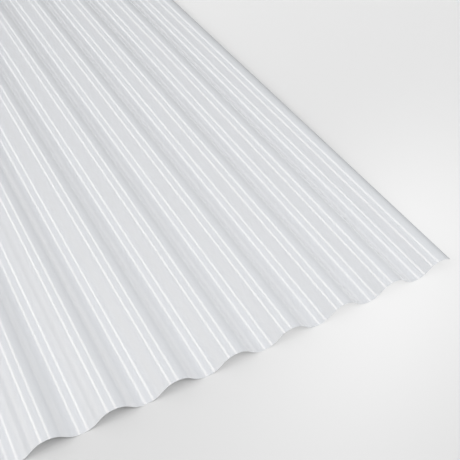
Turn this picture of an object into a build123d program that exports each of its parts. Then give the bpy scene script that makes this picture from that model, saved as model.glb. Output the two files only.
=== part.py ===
from build123d import *
import math
import os

# A sheet of corrugated steel, lying with its troughs on the ground.
# X runs across the waves, Y runs along them and Z points up.
# The origin is on the ground, under the middle of the sheet.

# Driving dimensions, in millimetres
PITCH = 76.0  # from one crest to the next
DEPTH = 18.0  # overall, from the underside of a trough to the top of a crest
GAUGE = 0.5  # thickness of the coated steel
FLANK_STRAIGHT = 4.25  # straight stretch between a crest's bend and a trough's
WAVES = 11  # whole waves between the two outermost crests
EDGE_LAP = 16.0  # how far the sheet runs on past each outermost crest
LENGTH = 2000.0  # along the waves

# Sizes that follow from them, measured on the line through the middle of the steel.
# The bends are as large as leaves the flanks their straight stretch. From the middle of a flank,
# the centre of a bend lies in a direction that is known both from the flank and from the level.
RISE = DEPTH - GAUGE
BEND_RADIUS = (PITCH**2 / 4 + RISE**2 - FLANK_STRAIGHT**2) / (4 * RISE)
FLANK_TO_BEND_CENTRE = math.atan2(BEND_RADIUS, FLANK_STRAIGHT / 2)
LEVEL_TO_BEND_CENTRE = math.atan2(BEND_RADIUS - RISE / 2, PITCH / 4)
FLANK_ANGLE = math.degrees(FLANK_TO_BEND_CENTRE - LEVEL_TO_BEND_CENTRE)
WIDTH = WAVES * PITCH + 2 * EDGE_LAP


def one_wave():
    """Drawn flat, with its crest at X = 0: the crest, a flank, the trough and the next flank."""
    crest = CenterArc((0, RISE - BEND_RADIUS), BEND_RADIUS, 90 + FLANK_ANGLE, -2 * FLANK_ANGLE)
    trough = CenterArc((PITCH / 2, BEND_RADIUS), BEND_RADIUS, 270 - FLANK_ANGLE, 2 * FLANK_ANGLE)
    falling_flank = Line(crest @ 1, trough @ 0)
    rising_flank = Line(trough @ 1, crest @ 0 + Vector(PITCH, 0))
    return [crest, falling_flank, trough, rising_flank]


def middle_line():
    """One wave repeated across the sheet and beyond, then cut off at both side edges."""
    waves_beyond = math.ceil(EDGE_LAP / PITCH)
    crests = GridLocations(PITCH, 0, WAVES + 1 + 2 * waves_beyond, 1)
    line = Wire([crest * edge for crest in crests for edge in one_wave()])
    for side_edge in (-WIDTH / 2, WIDTH / 2):
        line = split(line, Plane.YZ.offset(side_edge), keep=Keep.BOTH)
    return Wire(line.edges().filter_by_position(Axis.X, -WIDTH / 2, WIDTH / 2))


def section():
    """The sheet's cut end: half the gauge on each side of the middle line, square at its edges."""
    underside = middle_line().offset_2d(GAUGE / 2, side=Side.RIGHT, closed=False)
    outline = underside.offset_2d(GAUGE, side=Side.LEFT, closed=True)
    return Plane.XZ * Pos(0, GAUGE / 2) * Face(outline)


def corrugated_sheet():
    """The section run along the whole length."""
    near_end = Pos(0, -LENGTH / 2, 0) * section()
    return extrude(near_end, LENGTH, dir=(0, 1, 0))


os.makedirs("parts", exist_ok=True)
export_step(corrugated_sheet(), "parts/corrugated_sheet.step")
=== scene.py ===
import math
from typing import NamedTuple

import bmesh
import bpy
from bpy.props import FloatProperty, FloatVectorProperty, IntProperty, PointerProperty
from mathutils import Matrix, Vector


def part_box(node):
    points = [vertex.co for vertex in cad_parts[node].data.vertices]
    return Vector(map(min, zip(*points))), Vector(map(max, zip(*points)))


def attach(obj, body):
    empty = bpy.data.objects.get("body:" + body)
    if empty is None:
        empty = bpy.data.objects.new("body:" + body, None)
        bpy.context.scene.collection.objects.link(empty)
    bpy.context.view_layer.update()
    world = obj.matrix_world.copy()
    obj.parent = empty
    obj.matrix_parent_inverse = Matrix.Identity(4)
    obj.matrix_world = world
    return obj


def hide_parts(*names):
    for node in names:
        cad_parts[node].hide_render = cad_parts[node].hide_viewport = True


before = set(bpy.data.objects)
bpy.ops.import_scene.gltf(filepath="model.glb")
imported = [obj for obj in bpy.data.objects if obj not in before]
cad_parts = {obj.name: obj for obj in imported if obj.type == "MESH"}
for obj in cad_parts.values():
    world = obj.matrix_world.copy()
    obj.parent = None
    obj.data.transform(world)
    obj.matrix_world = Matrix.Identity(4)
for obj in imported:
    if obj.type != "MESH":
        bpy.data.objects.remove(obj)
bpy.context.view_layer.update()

bl_info = {
    "name": "Corrugated Sheet",
    "version": (1, 0, 0),
    "blender": (4, 5, 0),
    "location": "3D View > Sidebar > Corrugated Sheet",
    "description": "A sheet of coated corrugated steel on a pale floor, in soft studio light",
    "category": "Add Mesh",
}

NODE = "corrugated_sheet"
NODE_LOW, NODE_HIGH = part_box(NODE)

# The places of two materials in the sheet's list, after the gloss coat.
BACKING, CUT = 1, 2

# A corner sharper than this many degrees is an edge of the cut, and is broken with this many
# facets.
EDGE_ANGLE = 60.0
EDGE_FACETS = 2

# How uneven each finish is. A scale is that of the noise, and the roll lines have only a small
# share of theirs along the sheet, which draws them out. A colour's spread is the share of itself
# by which it gets darker or paler, and a roughness's spread is its whole range.
ROLL_LINE_SCALE = 160.0
ROLL_LINE_SHARE_ALONG = 0.02
FACE_MOTTLE_SCALE = 6.0
ORANGE_PEEL_SCALE = 220.0
ORANGE_PEEL_STRENGTH = 0.1
ORANGE_PEEL_HEIGHT = 0.0000005
FACE_COLOUR_SPREAD = 0.006
FACE_ROUGHNESS_SPREAD = 0.005
BACKING_MOTTLE_SCALE = 40.0
BACKING_COLOUR_SPREAD = 0.06
BACKING_ROUGHNESS_SPREAD = 0.1
SCORE_SCALE = 900.0
CUT_COLOUR_SPREAD = 0.15
CUT_ROUGHNESS_SPREAD = 0.2

# The floor's colour turns from its near colour to its far one along FLOOR_AWAY, between two
# distances from the middle of the sheet: painted shade and light, darker in front of the sheet
# and paler beyond it. Further out it turns into the white of the backdrop all round.
FLOOR_AWAY = (0.201, 0.980, 0.0)
SHADED_FLOOR_AT, LIT_FLOOR_AT = -1.12, 0.45
WHITE_STARTS_AT, WHITE_FULL_AT = 1.3, 4.0
FLOOR_ROUGHNESS = 0.9
FLOOR_SHEEN = 0.1
FLOOR_CELLS = 8
WALL_FACETS = 96

# The pale pool on the floor, a pool of painted light whose white washes out the sheet's shadow
# at its right front corner: its middle, its turn in radians, and its reach along and across.
LIGHT_POOL_MIDDLE = (0.372, -0.971, 0.0)
LIGHT_POOL_TURN = (0.0, 0.0, 0.630)
LIGHT_POOL_REACH = (0.345, 0.168, 1.0)

# The glows of the room, each as a bearing from X towards Y and an elevation, in degrees.
SIDE_GLOW = (150.0, 8.0)
REAR_GLOW = (300.0, 45.0)
FAR_WALL_GLOW = (90.0, -15.0)
NEAR_WALL_GLOW = (270.0, -15.0)
GLOW_SHARPNESS = 8.0

# The long lamps fade along Y, from full strength to a share of it.
FADE_STARTS_AT, FADE_ENDS_AT = 4.0, 16.0
FADED_SHARE = 0.35

# The camera, fitted to the front edge of the sheet and to the pale lines along its waves. Its
# turn is in degrees, and its lens and sensor are in millimetres.
CAMERA_PLACE = (-0.14339, -1.44812, 0.71021)
CAMERA_TURN = (46.1977, 0.0624, -29.0927)
CAMERA_LENS = 58.081
SENSOR_WIDTH = 36.0


class Lamp(NamedTuple):
    """How a lamp hangs: its middle in metres, its turn in degrees, and whether it fades."""

    name: str
    middle: tuple
    turn: tuple
    fades: bool


LEFT_STRIP = Lamp("left_strip", (-2.285, 3.5, 4.926), (0.0, -24.885, 0.0), fades=True)
RIGHT_STRIP = Lamp("right_strip", (1.746, 3.5, 4.709), (0.0, 20.344, 0.0), fades=True)
SIDE_SOFTBOX = Lamp("side_softbox", (-4.446, -0.8, 3.857), (50.0, 0.0, 270.0), fades=False)
REAR_SOFTBOX = Lamp("rear_softbox", (1.108, -2.459, 1.607), (50.0, 0.0, 30.0), fades=False)


class SheetSizes(bpy.types.PropertyGroup):
    """The sizes of the sheet, as it is rolled and cut."""

    pitch: FloatProperty(
        name="Pitch",
        description="From one crest to the next",
        default=0.076,
        min=0.02,
        unit="LENGTH",
    )
    depth: FloatProperty(
        name="Depth",
        description="From the underside of a trough to the top of a crest",
        default=0.018,
        min=0.005,
        unit="LENGTH",
    )
    gauge: FloatProperty(
        name="Gauge",
        description="Thickness of the coated steel",
        default=0.0005,
        min=0.0002,
        precision=5,
        unit="LENGTH",
    )
    flank_straight: FloatProperty(
        name="Flank straight",
        description="Straight stretch between a crest's bend and a trough's",
        default=0.00425,
        min=0.0,
        precision=5,
        unit="LENGTH",
    )
    waves: IntProperty(
        name="Waves",
        description="Whole waves between the two outermost crests",
        default=11,
        min=1,
    )
    edge_lap: FloatProperty(
        name="Edge lap",
        description="How far the sheet runs on past each outermost crest",
        default=0.016,
        min=0.0,
        unit="LENGTH",
    )
    length: FloatProperty(
        name="Length",
        description="Along the waves",
        default=NODE_HIGH.y - NODE_LOW.y,
        min=0.1,
        unit="LENGTH",
    )
    edge_break: FloatProperty(
        name="Edge break",
        description="How far the shears have rounded the edges of the cut",
        default=0.00006,
        min=0.0,
        precision=5,
        unit="LENGTH",
    )
    bend_steps: IntProperty(
        name="Bend steps",
        description="Facets in each bend",
        default=24,
        min=4,
    )
    length_steps: IntProperty(
        name="Length steps",
        description="Rows of facets along the sheet",
        default=20,
        min=1,
    )


class CoatingFinish(bpy.types.PropertyGroup):
    """The colours and gloss of the coated steel."""

    face_colour: FloatVectorProperty(
        name="Face colour",
        description="Gloss coat on the upper face",
        default=(0.719, 0.736, 0.760),
        size=3,
        min=0.0,
        max=1.0,
        subtype="COLOR",
    )
    face_roughness: FloatProperty(
        name="Face roughness",
        description="How much the gloss coat blurs what it mirrors",
        default=0.03,
        min=0.0,
        max=1.0,
        subtype="FACTOR",
    )
    gloss_ior: FloatProperty(
        name="Gloss IOR",
        description="Refraction of the gloss coat, which sets how strongly it mirrors",
        default=1.78,
        min=1.0,
        max=3.0,
    )
    gloss_tint: FloatVectorProperty(
        name="Gloss tint",
        description="Tint of what the gloss coat mirrors, where it is looked at straight on",
        default=(1.0, 0.9, 0.8),
        size=3,
        min=0.0,
        max=1.0,
        subtype="COLOR",
    )
    backing_colour: FloatVectorProperty(
        name="Backing colour",
        description="Thin dull coat on the underside",
        default=(0.52, 0.54, 0.55),
        size=3,
        min=0.0,
        max=1.0,
        subtype="COLOR",
    )
    backing_roughness: FloatProperty(
        name="Backing roughness",
        description="Dullness of the underside",
        default=0.45,
        min=0.0,
        max=1.0,
        subtype="FACTOR",
    )
    cut_colour: FloatVectorProperty(
        name="Cut colour",
        description="Bare steel and zinc where the sheet was sheared",
        default=(0.86, 0.87, 0.88),
        size=3,
        min=0.0,
        max=1.0,
        subtype="COLOR",
    )
    cut_roughness: FloatProperty(
        name="Cut roughness",
        description="Dullness of the cut",
        default=0.45,
        min=0.0,
        max=1.0,
        subtype="FACTOR",
    )
    cut_metallic: FloatProperty(
        name="Cut metallic",
        description="How much the cut looks like bare metal",
        default=0.15,
        min=0.0,
        max=1.0,
        subtype="FACTOR",
    )


class StudioLight(bpy.types.PropertyGroup):
    """The floor and the light."""

    # Painted shade and light: the floor's colour is darker in front of the sheet and paler beyond
    # it.
    shaded_near_floor: FloatVectorProperty(
        name="Near floor",
        description="Colour of the floor in front of the sheet",
        default=(0.640, 0.640, 0.640),
        size=3,
        min=0.0,
        max=1.0,
        subtype="COLOR",
    )
    lit_far_floor: FloatVectorProperty(
        name="Far floor",
        description="Colour of the floor beyond the middle of the sheet",
        default=(0.883, 0.883, 0.883),
        size=3,
        min=0.0,
        max=1.0,
        subtype="COLOR",
    )
    # Painted light: the pool is a white glow seen on the floor, which washes out the sheet's
    # shadow there.
    pool: FloatProperty(
        name="Pool",
        description="Share of white in the pale pool at the sheet's right front corner",
        default=0.8,
        min=0.0,
        max=1.0,
        subtype="FACTOR",
    )
    light_pool_white: FloatProperty(
        name="Pool white",
        description="Brightness of the white in the middle of the pool, where 1 is white",
        default=0.96,
        min=0.0,
        max=1.0,
    )
    backdrop: FloatProperty(
        name="Backdrop",
        description="Brightness of the wall and of the floor far from the sheet, where 1 is white",
        default=0.92,
        min=0.0,
        max=1.0,
    )
    room: FloatProperty(
        name="Room",
        description="How far off the wall is",
        default=40.0,
        min=10.0,
        unit="LENGTH",
    )
    side_glow: FloatProperty(
        name="Side glow",
        description="Brightness of the low glow in the room on the left, beyond the sheet",
        default=1.2,
        min=0.0,
    )
    rear_glow: FloatProperty(
        name="Rear glow",
        description="Brightness of the high glow behind the camera, left out of the gloss",
        default=2.55,
        min=0.0,
    )
    surround: FloatProperty(
        name="Surround",
        description="Brightness of the rest of the room, where 1 is white",
        default=0.05,
        min=0.0,
    )
    wall_glow: FloatProperty(
        name="Wall glow",
        description="Brightness of the walls beyond and before the sheet, in the gloss alone",
        default=0.7,
        min=0.0,
    )
    left_strip: FloatProperty(
        name="Left strip",
        description="How bright the long lamp on the left looks, where 1 is white",
        default=2.09,
        min=0.0,
    )
    right_strip: FloatProperty(
        name="Right strip",
        description="How bright the long lamp on the right looks, where 1 is white",
        default=1.8,
        min=0.0,
    )
    side_softbox: FloatProperty(
        name="Side softbox",
        description="How bright the square lamp on the left looks, where 1 is white",
        default=4.2,
        min=0.0,
    )
    rear_softbox: FloatProperty(
        name="Rear softbox",
        description="How bright the square lamp behind the camera looks, where 1 is white",
        default=3.0,
        min=0.0,
    )
    strip_width: FloatProperty(
        name="Strip width",
        description="Width of the two long lamps",
        default=1.04,
        min=0.01,
        unit="LENGTH",
    )
    strip_length: FloatProperty(
        name="Strip length",
        description="Length of the two long lamps",
        default=19.0,
        min=0.1,
        unit="LENGTH",
    )
    side_softbox_size: FloatProperty(
        name="Side softbox size",
        description="Side of the square lamp on the left",
        default=2.88,
        min=0.01,
        unit="LENGTH",
    )
    rear_softbox_size: FloatProperty(
        name="Rear softbox size",
        description="Side of the square lamp behind the camera",
        default=1.2,
        min=0.01,
        unit="LENGTH",
    )


class Socket:
    """An output of a shader node. Sums, differences, products and powers add Math nodes."""

    def __init__(self, shader, output):
        self.shader = shader
        self.output = output

    def __add__(self, other):
        return self.shader.maths("ADD", self, other)

    def __radd__(self, other):
        return self.shader.maths("ADD", other, self)

    def __sub__(self, other):
        return self.shader.maths("SUBTRACT", self, other)

    def __rsub__(self, other):
        return self.shader.maths("SUBTRACT", other, self)

    def __mul__(self, other):
        return self.shader.maths("MULTIPLY", self, other)

    def __rmul__(self, other):
        return self.shader.maths("MULTIPLY", other, self)

    def __pow__(self, other):
        return self.shader.maths("POWER", self, other)

    def __rpow__(self, other):
        return self.shader.maths("POWER", other, self)

    def at_least(self, other):
        return self.shader.maths("MAXIMUM", self, other)


class Shader:
    """The node tree of a material, of a lamp or of the world."""

    def __init__(self, owner):
        owner.use_nodes = True
        self.tree = owner.node_tree
        self.tree.nodes.clear()

    def node(self, kind, settings, inputs, output=0):
        """Adds one node and gives one of its outputs."""
        made = self.tree.nodes.new(kind)
        for name, value in settings.items():
            setattr(made, name, value)
        for name, value in inputs.items():
            if isinstance(value, Socket):
                self.tree.links.new(value.output, made.inputs[name])
            else:
                made.inputs[name].default_value = value
        return Socket(self, made.outputs[output]) if made.outputs else None

    def maths(self, operation, first, second):
        return self.node("ShaderNodeMath", {"operation": operation}, {0: first, 1: second})

    def vector_maths(self, operation, vectors, output):
        inputs = dict(enumerate(vectors))
        return self.node("ShaderNodeVectorMath", {"operation": operation}, inputs, output)

    def place(self):
        """Where a point is, in metres from the middle of the sheet."""
        return self.node("ShaderNodeTexCoord", {}, {}, "Object")

    def noise(self, place, scale, detail):
        """Unevenness between 0 and 1."""
        inputs = {"Vector": place, "Scale": scale, "Detail": detail}
        return self.node("ShaderNodeTexNoise", {}, inputs, "Fac")

    def blend(self, share, first, second):
        """The first colour where share is 0, the second where it is 1."""
        inputs = {"Factor": share, "A": (*first, 1.0), "B": (*second, 1.0)}
        return self.node("ShaderNodeMix", {"data_type": "RGBA"}, inputs, "Result")

    def uneven_number(self, value, spread, noise):
        """The number, made smaller or larger by up to half the spread."""
        return value + (noise - 0.5) * spread

    def uneven_colour(self, colour, spread, noise):
        """The colour, made darker or paler by up to a share of itself."""
        colour = Vector(colour)
        return self.blend(noise, colour * (1.0 - spread), colour * (1.0 + spread))

    def ramp(self, value, start, end, shape="LINEAR"):
        """From 0 at start to 1 at end."""
        inputs = {"Value": value, "From Min": start, "From Max": end}
        return self.node("ShaderNodeMapRange", {"interpolation_type": shape}, inputs)


def new_material(name):
    """A material and its shader, which is still empty."""
    material = bpy.data.materials.new(name)
    return material, Shader(material)


def gloss_coat(finish):
    """Gloss coat, with the fine lines that the forming rolls press along the sheet."""
    material, shader = new_material("gloss_coat")
    place = shader.place()
    drawn_out = shader.vector_maths(
        "MULTIPLY", (place, (1.0, ROLL_LINE_SHARE_ALONG, 1.0)), "Vector"
    )
    roll_lines = shader.noise(drawn_out, ROLL_LINE_SCALE, detail=3.0)
    mottle = shader.noise(place, FACE_MOTTLE_SCALE, detail=2.0)
    peel = shader.noise(place, ORANGE_PEEL_SCALE, detail=1.0)
    normal = shader.node(
        "ShaderNodeBump",
        {},
        {
            "Strength": ORANGE_PEEL_STRENGTH,
            "Distance": ORANGE_PEEL_HEIGHT,
            "Height": (roll_lines + peel) * 0.5,
        },
    )
    surface = shader.node(
        "ShaderNodeBsdfPrincipled",
        {},
        {
            "Base Color": shader.uneven_colour(
                finish.face_colour, FACE_COLOUR_SPREAD, (roll_lines + mottle) * 0.5
            ),
            "Roughness": shader.uneven_number(
                finish.face_roughness, FACE_ROUGHNESS_SPREAD, roll_lines
            ),
            "IOR": finish.gloss_ior,
            "Specular Tint": (*finish.gloss_tint, 1.0),
            "Normal": normal,
        },
    )
    shader.node("ShaderNodeOutputMaterial", {}, {"Surface": surface})
    return material


def backing_coat(finish):
    """Thin dull coat, a little uneven over the primer."""
    material, shader = new_material("backing_coat")
    mottle = shader.noise(shader.place(), BACKING_MOTTLE_SCALE, detail=4.0)
    surface = shader.node(
        "ShaderNodeBsdfPrincipled",
        {},
        {
            "Base Color": shader.uneven_colour(
                finish.backing_colour, BACKING_COLOUR_SPREAD, mottle
            ),
            "Roughness": shader.uneven_number(
                finish.backing_roughness, BACKING_ROUGHNESS_SPREAD, mottle
            ),
        },
    )
    shader.node("ShaderNodeOutputMaterial", {}, {"Surface": surface})
    return material


def sheared_steel(finish):
    """The cut through the steel, finely scored by the shears."""
    material, shader = new_material("sheared_steel")
    scores = shader.noise(shader.place(), SCORE_SCALE, detail=3.0)
    surface = shader.node(
        "ShaderNodeBsdfPrincipled",
        {},
        {
            "Base Color": shader.uneven_colour(finish.cut_colour, CUT_COLOUR_SPREAD, scores),
            "Metallic": finish.cut_metallic,
            "Roughness": shader.uneven_number(
                finish.cut_roughness, CUT_ROUGHNESS_SPREAD, scores
            ),
        },
    )
    shader.node("ShaderNodeOutputMaterial", {}, {"Surface": surface})
    return material


class WaveForm:
    """The line through the middle of the steel, across the waves."""

    def __init__(self, sizes):
        self.pitch = sizes.pitch
        self.gauge = sizes.gauge
        self.waves = sizes.waves
        self.lap_bends = math.ceil(2 * sizes.edge_lap / sizes.pitch)
        self.rise = sizes.depth - sizes.gauge
        self.lift = sizes.gauge / 2
        self.width = sizes.waves * sizes.pitch + 2 * sizes.edge_lap
        self.first_crest = -sizes.waves * sizes.pitch / 2
        straight = sizes.flank_straight
        self.radius = (self.pitch**2 / 4 + self.rise**2 - straight**2) / (4 * self.rise)
        flank_to_centre = math.atan2(self.radius, straight / 2)
        level_to_centre = math.atan2(self.radius - self.rise / 2, self.pitch / 4)
        self.flank_angle = flank_to_centre - level_to_centre
        self.bend_reach = self.radius * math.sin(self.flank_angle)

    def height(self, x):
        """Height above the ground of the middle of the steel."""
        from_crest = abs((x - self.first_crest + self.pitch / 2) % self.pitch - self.pitch / 2)
        from_trough = self.pitch / 2 - from_crest
        if from_crest <= self.bend_reach:
            bend_centre = self.rise - self.radius
            return self.lift + bend_centre + math.sqrt(self.radius**2 - from_crest**2)
        if from_trough <= self.bend_reach:
            return self.lift + self.radius - math.sqrt(self.radius**2 - from_trough**2)
        fall = (from_crest - self.pitch / 4) * math.tan(self.flank_angle)
        return self.lift + self.rise / 2 - fall

    def points(self, bend_steps):
        """Points from the left edge to the right: even turns round each bend, and one halfway
        down each flank. None is nearer to the next one or to an edge than the gauge."""
        places = []
        for number in range(-self.lap_bends, 2 * self.waves + self.lap_bends + 1):
            bend_middle = self.first_crest + number * self.pitch / 2
            for step in range(bend_steps + 1):
                turn = self.flank_angle * (2 * step / bend_steps - 1)
                places.append(bend_middle + self.radius * math.sin(turn))
            places.append(bend_middle + self.pitch / 4)
        left, right = -self.width / 2, self.width / 2
        line = [left]
        for x in sorted(places):
            if x - line[-1] > self.gauge and right - x > self.gauge:
                line.append(x)
        line.append(right)
        return [(x, self.height(x)) for x in line]


def sheet_mesh(sizes):
    """The middle of the steel as a mesh, one row of facets after another along the sheet."""
    line = WaveForm(sizes).points(sizes.bend_steps)
    mesh = bpy.data.meshes.new("corrugated_sheet_steel")
    build = bmesh.new()
    rows = []
    for step in range(sizes.length_steps + 1):
        y = sizes.length * (step / sizes.length_steps - 0.5)
        rows.append([build.verts.new((x, y, z)) for x, z in line])
    for near, far in zip(rows, rows[1:]):
        for left in range(len(line) - 1):
            face = build.faces.new((near[left], near[left + 1], far[left + 1], far[left]))
            face.smooth = True
    build.to_mesh(mesh)
    build.free()
    return mesh


class SHEET_OT_corrugated_sheet(bpy.types.Operator):
    """Makes the corrugated sheet"""

    bl_idname = "sheet.corrugated_sheet"
    bl_label = "Corrugated Sheet"

    def execute(self, context):
        sizes = context.scene.sheet_sizes
        finish = context.scene.coating_finish
        sheet = bpy.data.objects.new("coated_corrugated_sheet", sheet_mesh(sizes))
        context.scene.collection.objects.link(sheet)
        for material in (gloss_coat(finish), backing_coat(finish), sheared_steel(finish)):
            sheet.data.materials.append(material)

        thickness = sheet.modifiers.new("Gauge", "SOLIDIFY")
        thickness.thickness = sizes.gauge
        thickness.offset = 0.0
        thickness.use_even_offset = True
        thickness.material_offset = BACKING
        thickness.material_offset_rim = CUT

        edges = sheet.modifiers.new("Edge break", "BEVEL")
        edges.width = sizes.edge_break
        edges.segments = EDGE_FACETS
        edges.limit_method = "ANGLE"
        edges.angle_limit = math.radians(EDGE_ANGLE)
        edges.harden_normals = True

        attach(sheet, "root")
        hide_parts(NODE)
        return {"FINISHED"}


class SHEET_OT_studio(bpy.types.Operator):
    """Makes the floor, the light and the camera"""

    bl_idname = "sheet.studio"
    bl_label = "Studio"

    def execute(self, context):
        light = context.scene.studio_light
        self.add_floor(context, light)
        self.add_backdrop(context, light)
        self.add_surround(context, light)
        strip = (light.strip_width, light.strip_length)
        side = (light.side_softbox_size, light.side_softbox_size)
        rear = (light.rear_softbox_size, light.rear_softbox_size)
        self.add_lamp(context, LEFT_STRIP, light.left_strip, strip)
        self.add_lamp(context, RIGHT_STRIP, light.right_strip, strip)
        self.add_lamp(context, SIDE_SOFTBOX, light.side_softbox, side)
        self.add_lamp(context, REAR_SOFTBOX, light.rear_softbox, rear)
        self.add_camera(context)
        context.scene.view_settings.view_transform = "Standard"
        return {"FINISHED"}

    def add_mesh(self, context, name, build, material):
        """Makes an object of what has been built. The sheet's gloss doesn't mirror it."""
        mesh = bpy.data.meshes.new(name)
        build.to_mesh(mesh)
        build.free()
        mesh.materials.append(material)
        made = bpy.data.objects.new(name, mesh)
        made.visible_glossy = False
        context.scene.collection.objects.link(made)
        return made

    def add_floor(self, context, light):
        """The floor takes the light and the shadow, and its colour holds painted shade, darker in
        front of the sheet and paler beyond it. What is seen of it is whiter far out, and in the
        pale pool, a pool of painted light that washes out the sheet's shadow at its right front
        corner."""
        material, shader = new_material("pale_floor")
        place = shader.place()
        away = shader.vector_maths("DOT_PRODUCT", (place, FLOOR_AWAY), "Value")
        # Painted shade: the floor's colour is darker in front of the sheet and paler beyond it.
        depth = shader.ramp(away, SHADED_FLOOR_AT, LIT_FLOOR_AT)
        lit = shader.node(
            "ShaderNodeBsdfPrincipled",
            {},
            {
                "Base Color": shader.blend(depth, light.shaded_near_floor, light.lit_far_floor),
                "Roughness": FLOOR_ROUGHNESS,
                "Specular IOR Level": FLOOR_SHEEN,
            },
        )

        in_light_pool = shader.node(
            "ShaderNodeMapping",
            {"vector_type": "TEXTURE"},
            {
                "Vector": place,
                "Location": LIGHT_POOL_MIDDLE,
                "Rotation": LIGHT_POOL_TURN,
                "Scale": LIGHT_POOL_REACH,
            },
        )
        from_light_pool = shader.vector_maths("LENGTH", (in_light_pool,), "Value")
        near_light_pool = math.e ** (0.0 - from_light_pool * from_light_pool)
        from_middle = shader.vector_maths("LENGTH", (place,), "Value")
        far_out = shader.ramp(from_middle, WHITE_STARTS_AT, WHITE_FULL_AT, "SMOOTHSTEP")
        # Painted light: in the pool a white glow takes the place of the lit floor and washes out
        # the sheet's shadow.
        whiteness = shader.blend(near_light_pool, [light.backdrop] * 3, [light.light_pool_white] * 3)
        white = shader.node("ShaderNodeEmission", {}, {"Color": whiteness, "Strength": 1.0})
        share = self.seen(shader) * (light.pool * near_light_pool).at_least(far_out)
        surface = shader.node("ShaderNodeMixShader", {}, {"Fac": share, 1: lit, 2: white})
        shader.node("ShaderNodeOutputMaterial", {}, {"Surface": surface})

        build = bmesh.new()
        bmesh.ops.create_grid(
            build, x_segments=FLOOR_CELLS, y_segments=FLOOR_CELLS, size=light.room
        )
        floor = self.add_mesh(context, "floor", build, material)

    def add_backdrop(self, context, light):
        """A pale wall all round, at the end of the floor, which does nothing to the light."""
        material, shader = new_material("pale_wall")
        white = shader.node("ShaderNodeEmission", {}, {"Strength": light.backdrop})
        shader.node("ShaderNodeOutputMaterial", {}, {"Surface": white})

        build = bmesh.new()
        bmesh.ops.create_cone(
            build,
            segments=WALL_FACETS,
            radius1=light.room,
            radius2=light.room,
            depth=2.0 * light.room,
        )
        backdrop = self.add_mesh(context, "backdrop", build, material)
        backdrop.visible_diffuse = False
        backdrop.visible_shadow = False

    def seen(self, shader):
        """1 for rays from the camera, straight, mirrored or passed through; 0 for the light."""
        return sum(
            shader.node("ShaderNodeLightPath", {}, {}, ray)
            for ray in ("Is Camera Ray", "Is Glossy Ray", "Is Transmission Ray")
        )

    def add_surround(self, context, light):
        """The room: dim, with one glow on the left that lights the sheet and is mirrored in it,
        one behind the camera that only lights it, and two at its ends that are only mirrored."""
        world = bpy.data.worlds.new("soft_surround")
        context.scene.world = world
        shader = Shader(world)
        way = shader.node("ShaderNodeTexCoord", {}, {}, "Generated")
        mirrored = shader.node("ShaderNodeLightPath", {}, {}, "Is Glossy Ray")
        strength = light.surround
        for (bearing, elevation), glow in (
            (SIDE_GLOW, light.side_glow),
            (REAR_GLOW, light.rear_glow * (1.0 - mirrored)),
            (FAR_WALL_GLOW, light.wall_glow * mirrored),
            (NEAR_WALL_GLOW, light.wall_glow * mirrored),
        ):
            turn, lift = math.radians(bearing), math.radians(elevation)
            towards = (
                math.cos(turn) * math.cos(lift),
                math.sin(turn) * math.cos(lift),
                math.sin(lift),
            )
            facing = shader.vector_maths("DOT_PRODUCT", (way, towards), "Value")
            strength = strength + glow * facing.at_least(0.0) ** GLOW_SHARPNESS
        background = shader.node(
            "ShaderNodeBackground", {}, {"Color": (1.0, 1.0, 1.0, 1.0), "Strength": strength}
        )
        shader.node("ShaderNodeOutputWorld", {}, {"Surface": background})

    def add_lamp(self, context, lamp, brightness, size):
        data = bpy.data.lights.new(lamp.name, "AREA")
        data.shape = "RECTANGLE"
        data.size, data.size_y = size
        data.energy = brightness * math.pi * data.size * data.size_y
        if lamp.fades:
            shader = Shader(data)
            point = shader.node("ShaderNodeNewGeometry", {}, {}, "Position")
            along = shader.node("ShaderNodeSeparateXYZ", {}, {"Vector": point}, "Y")
            faded = shader.ramp(along, FADE_STARTS_AT, FADE_ENDS_AT, "SMOOTHSTEP")
            strength = 1.0 - (1.0 - FADED_SHARE) * faded
            glow = shader.node("ShaderNodeEmission", {}, {"Strength": strength})
            shader.node("ShaderNodeOutputLight", {}, {"Surface": glow})
        hanging = bpy.data.objects.new(lamp.name, data)
        hanging.location = lamp.middle
        hanging.rotation_euler = [math.radians(angle) for angle in lamp.turn]
        hanging.visible_camera = False
        context.scene.collection.objects.link(hanging)

    def add_camera(self, context):
        data = bpy.data.cameras.new("camera")
        data.sensor_width = SENSOR_WIDTH
        data.lens = CAMERA_LENS
        camera = bpy.data.objects.new("camera", data)
        camera.location = CAMERA_PLACE
        camera.rotation_euler = [math.radians(angle) for angle in CAMERA_TURN]
        context.scene.collection.objects.link(camera)
        context.scene.camera = camera


class SHEET_PT_panel(bpy.types.Panel):
    """Shows the sizes, the finish and the light, with buttons that make the sheet and the studio
    """

    bl_idname = "SHEET_PT_panel"
    bl_label = "Corrugated Sheet"
    bl_space_type = "VIEW_3D"
    bl_region_type = "UI"
    bl_category = "Corrugated Sheet"

    def draw(self, context):
        layout = self.layout
        for group in (
            context.scene.sheet_sizes,
            context.scene.coating_finish,
            context.scene.studio_light,
        ):
            box = layout.box()
            for name in group.bl_rna.properties.keys():
                if name not in {"rna_type", "name"}:
                    box.prop(group, name)
        layout.operator(SHEET_OT_corrugated_sheet.bl_idname)
        layout.operator(SHEET_OT_studio.bl_idname)


CLASSES = (
    SheetSizes,
    CoatingFinish,
    StudioLight,
    SHEET_OT_corrugated_sheet,
    SHEET_OT_studio,
    SHEET_PT_panel,
)


def register():
    for kind in CLASSES:
        bpy.utils.register_class(kind)
    bpy.types.Scene.sheet_sizes = PointerProperty(type=SheetSizes)
    bpy.types.Scene.coating_finish = PointerProperty(type=CoatingFinish)
    bpy.types.Scene.studio_light = PointerProperty(type=StudioLight)


def unregister():
    del bpy.types.Scene.studio_light
    del bpy.types.Scene.coating_finish
    del bpy.types.Scene.sheet_sizes
    for kind in reversed(CLASSES):
        bpy.utils.unregister_class(kind)


def main():
    register()
    bpy.ops.sheet.corrugated_sheet()
    bpy.ops.sheet.studio()


if __name__ == "__main__":
    main()
